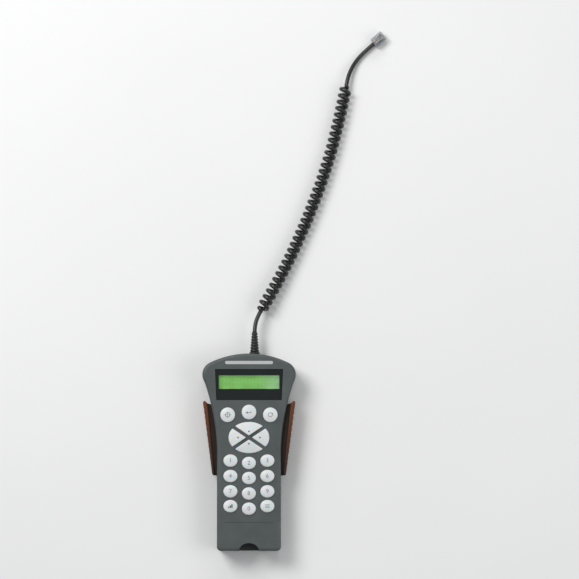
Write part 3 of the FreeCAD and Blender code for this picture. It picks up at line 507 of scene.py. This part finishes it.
def key_shape(name):
    """A function that gives a key's outline at an inset, its crown's centre and half sizes."""
    if name in PETALS:
        return (lambda inset: petal_outline(PETALS[name], inset), (0.0, PAD_Y), PAD_HALF,
                PAD_CROWN_DEPTH)
    x, y = key_middle(name)
    low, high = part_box(name)
    half = Vector(((high.x - low.x) / 2 - KEY_LIP, (high.y - low.y) / 2 - KEY_LIP))
    return (lambda inset: oval_outline(x, y, half.x - inset, half.y - inset), (x, y), half,
            CROWN_DEPTH)


def crown_height(point, centre, half, depth):
    """The height of a key's crowned top over a point."""
    u = (point[0] - centre[0]) / (CROWN * half.x)
    v = (point[1] - centre[1]) / (CROWN * half.y)
    return KEY_TOP - depth * (1 - math.sqrt(max(0.0, 1 - u * u - v * v)))


def make_key(name, paint):
    """A key: crowned cap with a rounded rim, lip and core."""
    outline, centre, half, depth = key_shape(name)

    def raised(ring, drop):
        return [Vector((p.x, p.y, crown_height(p, centre, half, depth) - drop)) for p in ring]

    def flat(ring, height):
        return [Vector((p.x, p.y, height)) for p in ring]

    def build(work):
        edge = outline(0.0)
        rings = [flat(outline(-KEY_LIP), LIP_LOW), flat(outline(-KEY_LIP), LIP_HIGH),
                 flat(edge, LIP_HIGH), raised(edge, RIM)]
        for step in range(1, RIM_STEPS + 1):
            turn = math.pi / 2 * step / RIM_STEPS
            rings.append(raised(outline(RIM * (1 - math.cos(turn))), RIM * (1 - math.sin(turn))))
        inner = outline(RIM)
        middle = sum(inner, Vector((0, 0))) / len(inner)
        for share in TOP_SHARES:
            rings.append(raised([middle.lerp(p, share) for p in inner], 0.0))
        loft(work, rings)
        core = oval_outline(*core_middle(name), CORE_RADIUS, CORE_RADIUS, 32)
        loft(work, [flat(core, CORE_LOW), flat(core, LIP_LOW)])

    piece = new_object(f"{name}_cap", mesh_from(f"{name}_cap", build), name, paint)
    sharpen(piece, 50)
    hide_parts(name)


def core_middle(name):
    """The middle of a key's round core."""
    if name not in PETALS:
        return key_middle(name)
    x, y = PETAL_CORES[PETALS[name]]
    return x * MM, PAD_Y + y * MM


def make_pill(name, paint):
    """The carbon pill under a key."""
    x, y = core_middle(name)

    def build(work):
        ring = oval_outline(x, y, PILL_RADIUS, PILL_RADIUS, 32)
        small = oval_outline(x, y, PILL_RADIUS - PILL_EDGE, PILL_RADIUS - PILL_EDGE, 32)
        low, high = CORE_LOW - PILL_THICK, CORE_LOW
        loft(work, [[Vector((p.x, p.y, low)) for p in small],
                    [Vector((p.x, p.y, low + PILL_EDGE)) for p in ring],
                    [Vector((p.x, p.y, high)) for p in ring]])

    new_object(f"{name}_pill", mesh_from(f"{name}_pill", build), name, paint)


# ---------------------------------------------------------------- legends

LEGEND_RAISE = 0.05 * MM


def cut_up(mesh, pitch=0.6 * MM):
    """Cut a flat shape along a fine grid, so that it can follow a curved surface."""
    work = bmesh.new()
    work.from_mesh(mesh)
    for axis in (0, 1):
        places = [vertex.co[axis] for vertex in work.verts]
        normal = Vector((1, 0, 0)) if axis == 0 else Vector((0, 1, 0))
        for step in range(1, math.ceil((max(places) - min(places)) / pitch)):
            everything = work.verts[:] + work.edges[:] + work.faces[:]
            bmesh.ops.bisect_plane(work, geom=everything, plane_no=normal,
                                   plane_co=normal * (min(places) + step * pitch))
    bmesh.ops.triangulate(work, faces=work.faces)
    work.to_mesh(mesh)
    work.free()


def drape(piece, name):
    """Lay a flat legend on a key's crowned top."""
    _, centre, half, depth = key_shape(name)
    cut_up(piece.data)
    for vertex in piece.data.vertices:
        vertex.co.z += crown_height(vertex.co, centre, half, depth) + LEGEND_RAISE


def ink_and_shadow_polygon(name, loops, body, paint, thick=0.03 * MM):
    """Flat printed shapes, or a painted shadow line, each a closed loop of points, given a printed
    layer's thickness.
    """

    def build(work):
        for loop in loops:
            low = [work.verts.new((x, y, -thick)) for x, y in loop]
            high = [work.verts.new((x, y, 0)) for x, y in loop]
            work.faces.new(high)
            work.faces.new(list(reversed(low)))
            for k in range(len(loop)):
                following = (k + 1) % len(loop)
                work.faces.new((low[k], low[following], high[following], high[k]))

    return new_object(name, mesh_from(name, build, smooth=False), body, paint)


def digit(name, words, paint, size=5.4 * MM):
    """A generic digit printed on a key."""
    x, y = key_middle(name)
    curve = bpy.data.curves.new(f"{name}_digit", "FONT")
    curve.body = words
    curve.size = size
    curve.align_x = "CENTER"
    curve.align_y = "CENTER"
    curve.extrude = 0.02 * MM
    curve.resolution_u = 3
    holder = bpy.data.objects.new("digit", curve)
    bpy.context.scene.collection.objects.link(holder)
    bpy.context.view_layer.update()
    mesh = bpy.data.meshes.new_from_object(holder)
    bpy.data.objects.remove(holder)
    mesh.transform(Matrix.Translation((x, y, 0)))
    mesh.materials.clear()
    drape(new_object(f"{name}_digit", mesh, name, paint), name)


def ring_loops(x, y, outer, inner, count=28):
    """A ring, as a row of small quads."""
    loops = []
    for k in range(count):
        a, b = 2 * math.pi * k / count, 2 * math.pi * (k + 1) / count
        loops.append([(x + inner * math.cos(a), y + inner * math.sin(a)),
                      (x + outer * math.cos(a), y + outer * math.sin(a)),
                      (x + outer * math.cos(b), y + outer * math.sin(b)),
                      (x + inner * math.cos(b), y + inner * math.sin(b))])
    return loops


def bar_loop(x, y, wide, high):
    return [(x - wide / 2, y - high / 2), (x + wide / 2, y - high / 2),
            (x + wide / 2, y + high / 2), (x - wide / 2, y + high / 2)]


def triangle_loop(x, y, size, facing):
    """A triangle that points along an angle."""
    return [(x + size * math.cos(facing + turn), y + size * math.sin(facing + turn))
            for turn in (0, 2.3, -2.3)]


def make_legends(paints):
    """Digits on the number keys, simple signs on the rest and an arrow on each pad key."""
    for name in NUMBER_KEYS:
        if name[-1].isdigit():
            digit(name, name[-1], paints["legend"])
    x, y = key_middle("key_align")
    loops = ring_loops(x, y, 2.3 * MM, 1.8 * MM)
    loops += [bar_loop(x, y, 0.5 * MM, 6.0 * MM), bar_loop(x - 1.9 * MM, y, 2.2 * MM, 0.5 * MM),
              bar_loop(x + 1.9 * MM, y, 2.2 * MM, 0.5 * MM)]
    drape(ink_and_shadow_polygon("key_align_sign", loops, "key_align", paints["legend"]), "key_align")
    x, y = key_middle("key_enter")
    loops = [bar_loop(x + 0.4 * MM, y - 0.6 * MM, 3.4 * MM, 0.55 * MM),
             bar_loop(x + 1.85 * MM, y + 0.45 * MM, 0.55 * MM, 1.6 * MM),
             triangle_loop(x - 1.9 * MM, y - 0.6 * MM, 1.5 * MM, math.pi)]
    drape(ink_and_shadow_polygon("key_enter_sign", loops, "key_enter", paints["legend"]), "key_enter")
    x, y = key_middle("key_back")
    loops = ring_loops(x, y, 2.2 * MM, 1.7 * MM)[3:]
    loops.append(triangle_loop(x + 2.1 * MM, y + 0.9 * MM, 1.1 * MM, -0.6))
    drape(ink_and_shadow_polygon("key_back_sign", loops, "key_back", paints["legend"]), "key_back")
    x, y = key_middle("key_speed")
    loops = [bar_loop(x + (k - 1) * 1.5 * MM, y - 1.6 * MM + (0.6 + 0.55 * k) * MM,
                      1.05 * MM, (1.2 + 1.1 * k) * MM) for k in range(3)]
    drape(ink_and_shadow_polygon("key_speed_sign", loops, "key_speed", paints["dark_legend"]), "key_speed")
    x, y = key_middle("key_menu")
    loops = [bar_loop(x, y + k * 1.3 * MM, 4.2 * MM, 0.5 * MM) for k in (-1, 0, 1)]
    drape(ink_and_shadow_polygon("key_menu_sign", loops, "key_menu", paints["legend"]), "key_menu")
    for name, side in PETALS.items():
        facing, out = PETAL_FACING[side], ARROW_OUT[side]
        loop = triangle_loop(out * math.cos(facing), PAD_Y + out * math.sin(facing), 1.15 * MM,
                             facing)
        drape(ink_and_shadow_polygon(f"{name}_arrow", [loop], name, paints["dark_legend"]), name)


def make_face_marks(paints):
    """A plain light bar over the display, and a thin dark line under the keys: a painted shadow
    line for a shallow groove across the chin.
    """
    rule = rounded_rectangle(0, 83.9 * MM, 22.5 * MM, 1.5 * MM, 1.4 * MM)
    lower = bar_loop(0, -65.8 * MM, 46 * MM, 0.45 * MM)
    for name, loop, paint in (("face_rule", rule, paints["rule"]),
                              ("chin_line", lower, paints["groove"])):
        piece = ink_and_shadow_polygon(name, [loop], "case", paint)
        piece.data.transform(Matrix.Translation((0, 0, FACE_Z + 0.02 * MM)))


# ---------------------------------------------------------------- display

VIEW_HALF = Vector((28.4 * MM, 6.4 * MM))
VIEW_Y = 65.5 * MM
VIEW_CORNER = 0.8 * MM
LENS_NARROWING = 1.3 * MM
LENS_EDGE = 0.25 * MM
CELL_COLUMNS, CELL_ROWS = 16, 2


def rounded_rectangle(x, y, half_wide, half_high, radius, corner=6):
    points = []
    for quarter, (sx, sy) in enumerate(((1, 1), (-1, 1), (-1, -1), (1, -1))):
        cx, cy = x + sx * (half_wide - radius), y + sy * (half_high - radius)
        for k in range(corner + 1):
            angle = math.pi / 2 * (quarter + k / corner)
            points.append(Vector((cx + radius * math.cos(angle), cy + radius * math.sin(angle))))
    return points


def make_display(paints):
    """The lens: a clear window inside a glossy black border, with softened edges."""
    lens_y = (LENS_LOW.y + LENS_HIGH.y) / 2
    half = Vector(((LENS_HIGH.x - LENS_LOW.x) / 2, (LENS_HIGH.y - LENS_LOW.y) / 2))
    low, high = LENS_LOW.z, LENS_HIGH.z

    def lifted(points, height):
        return [Vector((p.x, p.y, height)) for p in points]

    def tapered(points):
        """Narrow an outline towards the keys, as the lens does."""
        slope = LENS_NARROWING / half.x / (2 * half.y)
        return [Vector((p.x * (1 - slope * (LENS_HIGH.y - p.y)), p.y)) for p in points]

    def border(work):
        view = rounded_rectangle(0, VIEW_Y, VIEW_HALF.x, VIEW_HALF.y, VIEW_CORNER)
        outer = tapered(rounded_rectangle(0, lens_y, half.x, half.y, 1.2 * MM))
        soft = tapered(rounded_rectangle(0, lens_y, half.x - LENS_EDGE, half.y - LENS_EDGE,
                                         1.0 * MM))
        loft(work, [lifted(view, low), lifted(outer, low), lifted(outer, high - LENS_EDGE),
                    lifted(soft, high), lifted(view, high), lifted(view, low)], False, False)

    def pane(work):
        view = rounded_rectangle(0, VIEW_Y, VIEW_HALF.x, VIEW_HALF.y, VIEW_CORNER)
        loft(work, [lifted(view, low + 0.05 * MM), lifted(view, high - 0.02 * MM)])

    edge = new_object("lens_border", mesh_from("lens_border", border), "case", paints["bezel"])
    sharpen(edge, 30)
    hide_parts("display_lens")
    window = new_object("lens_window", mesh_from("lens_window", pane), "case", paints["window"])
    sharpen(window, 30)

    glass_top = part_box("lcd_glass")[1].z
    pitch_x, pitch_y = 2 * VIEW_HALF.x * 0.94 / CELL_COLUMNS, 2 * VIEW_HALF.y * 0.86 / CELL_ROWS
    columns = [(column - (CELL_COLUMNS - 1) / 2) * pitch_x for column in range(CELL_COLUMNS)]
    rows = [VIEW_Y + (row - (CELL_ROWS - 1) / 2) * pitch_y for row in range(CELL_ROWS)]
    cells = [bar_loop(x, y, 0.82 * pitch_x, 0.88 * pitch_y) for x in columns for y in rows]
    blank = ink_and_shadow_polygon("lcd_cells", cells, "case", paints["cells"])
    blank.data.transform(Matrix.Translation((0, 0, glass_top + 0.04 * MM)))


# ---------------------------------------------------------------- side grips

GRIP_INNER_X = (32.4 * MM, 39.4 * MM)
GRIP_OUTER_X = (34.6 * MM, 43.8 * MM)
GRIP_RAKE = 2.4 * MM
GRIP_END_ROUND = 2.2 * MM
RIB_PITCH = 5.2 * MM
RIB_DEEP = 0.5 * MM
GRIP_STATIONS, GRIP_AROUND = 200, 44


def make_grip(side, paint):
    """A rubber wing with rounded edges, a raked upper end and a row of finger grooves."""
    node = f"side_grip_{side}"
    low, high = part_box(node)
    sign = 1 if side == "right" else -1
    middle_z, half_z = (low.z + high.z) / 2, (high.z - low.z) / 2
    long = high.y - GRIP_RAKE - low.y

    def build(work):
        rings = []
        for k in range(GRIP_STATIONS + 1):
            share = k / GRIP_STATIONS
            from_end = min(share, 1 - share) * long
            ease = math.sqrt(max(0.0, 1 - (1 - min(1.0, from_end / GRIP_END_ROUND))**2))
            inner = GRIP_INNER_X[0] + (GRIP_INNER_X[1] - GRIP_INNER_X[0]) * share
            outer = GRIP_OUTER_X[0] + (GRIP_OUTER_X[1] - GRIP_OUTER_X[0]) * share
            deep = (outer - inner) * (0.55 + 0.45 * ease)
            tall = half_z * (0.9 + 0.1 * ease)
            ribbed = min(1.0, max(0.0, (from_end - 4 * MM) / (2 * MM)))
            wave = 0.5 + 0.5 * math.cos(2 * math.pi * (share - 0.5) * long / RIB_PITCH)
            groove = RIB_DEEP * ribbed * wave**4 * share**0.5
            ring = []
            for j in range(GRIP_AROUND):
                angle = 2 * math.pi * j / GRIP_AROUND
                c, s = math.cos(angle), math.sin(angle)
                z = middle_z + tall * math.copysign(abs(s)**0.42, s)
                out = max(0.0, c)**0.5
                across = 1 - min(1.0, abs(z - middle_z) / (0.78 * half_z))**6
                x = inner + deep * out - groove * across * out
                y = low.y + share * (long + GRIP_RAKE * out)
                ring.append(Vector((sign * x, y, z)))
            rings.append(ring)
        loft(work, rings)

    piece = new_object(f"{node}_pad", mesh_from(f"{node}_pad", build), "case", paint)
    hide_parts(node)


# ---------------------------------------------------------------- plug

WIRE_PITCH = 1.27 * MM
WIRE_RADIUS = 0.45 * MM
# How far each point of a wire is past the cord's end, and its share of the contacts' spacing.
WIRE_POINTS = ((0.3, 0.35), (2.2, 0.5), (4.2, 1.0), (9.0, 1.0))
WIRE_COLOURS = ((0.8, 0.8, 0.8), (0.02, 0.02, 0.02), (0.6, 0.03, 0.03), (0.03, 0.35, 0.06),
                (0.75, 0.6, 0.05), (0.05, 0.1, 0.5))


def make_plug_wires():
    """Six coloured conductors seen inside the clear plug."""
    end, before = Vector(FAR_ROUTE[-1]) * MM, Vector(FAR_ROUTE[-2]) * MM
    ahead = Vector((end.x - before.x, end.y - before.y, 0)).normalized()
    side = Vector((ahead.y, -ahead.x, 0))
    pieces = []
    for index, tint in enumerate(WIRE_COLOURS):
        across = (index - (len(WIRE_COLOURS) - 1) / 2) * WIRE_PITCH
        route = [end + ahead * past * MM + side * across * share for past, share in WIRE_POINTS]
        piece, curve = smooth_curve(f"plug_wire_{index + 1}", route)
        curve.bevel_depth = WIRE_RADIUS
        curve.bevel_resolution = 3
        curve.use_fill_caps = True
        curve.materials.append(material(f"wire_{index + 1}", tint, 0.4, 0.05, 500, 2500, 0.004))
        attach(piece, "case")
        pieces.append(piece)
    return pieces


# ---------------------------------------------------------------- CAD nodes that stay

def paint_nodes(paints):
    """Give every CAD node its material, and soften the small moulded ones' edges."""
    chosen = {
        "front_shell": "case", "rear_shell": "rear", "case_screws": "screw", "rear_label": "label",
        "display_lens": "bezel", "lens_tape": "tape", "display_seal": "foam",
        "lcd_frame": "black_metal", "lcd_glass": "lcd", "lcd_backlight": "backlight",
        "lcd_board": "board", "lcd_ribbon": "ribbon", "lcd_screws": "screw", "main_board": "board",
        "keypad_mat": "mat", "key_webs": "mat", "key_lamps": "lamp", "board_parts": "chip",
        "board_screws": "screw", "data_socket": "socket", "socket_contacts": "gold",
        "cord_connector": "nylon", "cord_leads": "nylon", "grip_rail_left": "rail",
        "grip_rail_right": "rail", "side_grip_left": "grip", "side_grip_right": "grip",
        "strain_relief": "jacket", "cord_tail_near": "jacket", "cord_coil": "jacket",
        "cord_tail_far": "jacket", "plug_body": "clear", "plug_contacts": "gold",
        "plug_latch": "clear",
    }
    for name, node in NODES.items():
        node.data.materials.clear()
        node.data.materials.append(paints[chosen.get(name, "key")])
    for name in ("front_shell", "rear_shell"):
        even_shading(NODES[name])
    for name in ("plug_body", "plug_latch", "data_socket"):
        bevel(NODES[name], 0.15 * MM)


# ---------------------------------------------------------------- stage

VIEW_TARGET = Vector((38 * MM, 154 * MM, 15 * MM))
VIEW_ELEVATION = math.radians(85)
VIEW_DISTANCE = 2.65
LIT_SPOT = Vector((20 * MM, 150 * MM, 0))


def make_camera():
    """The viewing angle: almost straight down on the keys, leaning a little to the near end."""
    camera = bpy.data.cameras.new("camera")
    camera.lens = 174
    camera.sensor_width = 36
    holder = bpy.data.objects.new("camera", camera)
    bpy.context.scene.collection.objects.link(holder)
    backwards = Vector((0, -math.cos(VIEW_ELEVATION), math.sin(VIEW_ELEVATION)))
    holder.location = VIEW_TARGET + backwards * VIEW_DISTANCE
    holder.rotation_euler = (math.pi / 2 - VIEW_ELEVATION, 0, 0)
    bpy.context.scene.camera = holder


def make_light(name, place, size, power):
    """A soft rectangular lamp that faces the part."""
    lamp = bpy.data.lights.new(name, "AREA")
    lamp.shape = "RECTANGLE"
    lamp.size, lamp.size_y = size
    lamp.energy = power
    holder = bpy.data.objects.new(name, lamp)
    bpy.context.scene.collection.objects.link(holder)
    holder.location = place
    aim = (LIT_SPOT - Vector(place)).to_track_quat("-Z", "Y")
    holder.rotation_euler = aim.to_euler()


def make_stage():
    """A plain pale floor and soft studio light."""

    def build(work):
        bmesh.ops.create_grid(work, x_segments=8, y_segments=8, size=6)

    floor = bpy.data.objects.new("floor", mesh_from("floor", build))
    bpy.context.scene.collection.objects.link(floor)
    floor.location.z = -0.1 * MM
    floor.data.materials.append(material("floor_paint", (0.92, 0.92, 0.91), 0.75, 0.015, 3, 400,
                                         0.02))
    world = bpy.data.worlds.new("studio")
    world.use_nodes = True
    background = world.node_tree.nodes["Background"]
    background.inputs["Color"].default_value = (0.95, 0.97, 1.0, 1)
    background.inputs["Strength"].default_value = 0.28
    bpy.context.scene.world = world
    make_light("key_light", (-0.9, 0.9, 1.5), (0.9, 0.9), 22)
    make_light("fill_light", (1.2, -0.2, 1.1), (1.0, 1.0), 6)
    make_light("back_light", (0.3, 1.8, 0.8), (1.2, 0.5), 7)
    bpy.context.scene.view_settings.view_transform = "Standard"


def main():
    paints = make_materials()
    make_camera()
    cord = make_cord(paints["jacket"])
    relief = make_relief(paints["jacket"])
    make_stage()
    paint_nodes(paints)
    for name in (*ROUND_KEYS, *NUMBER_KEYS, *PETALS):
        make_key(name, paints["key"])
        make_pill(name, paints["carbon"])
    make_legends(paints)
    make_face_marks(paints)
    make_display(paints)
    for side in ("left", "right"):
        make_grip(side, paints["grip"])
    wires = make_plug_wires()


main()
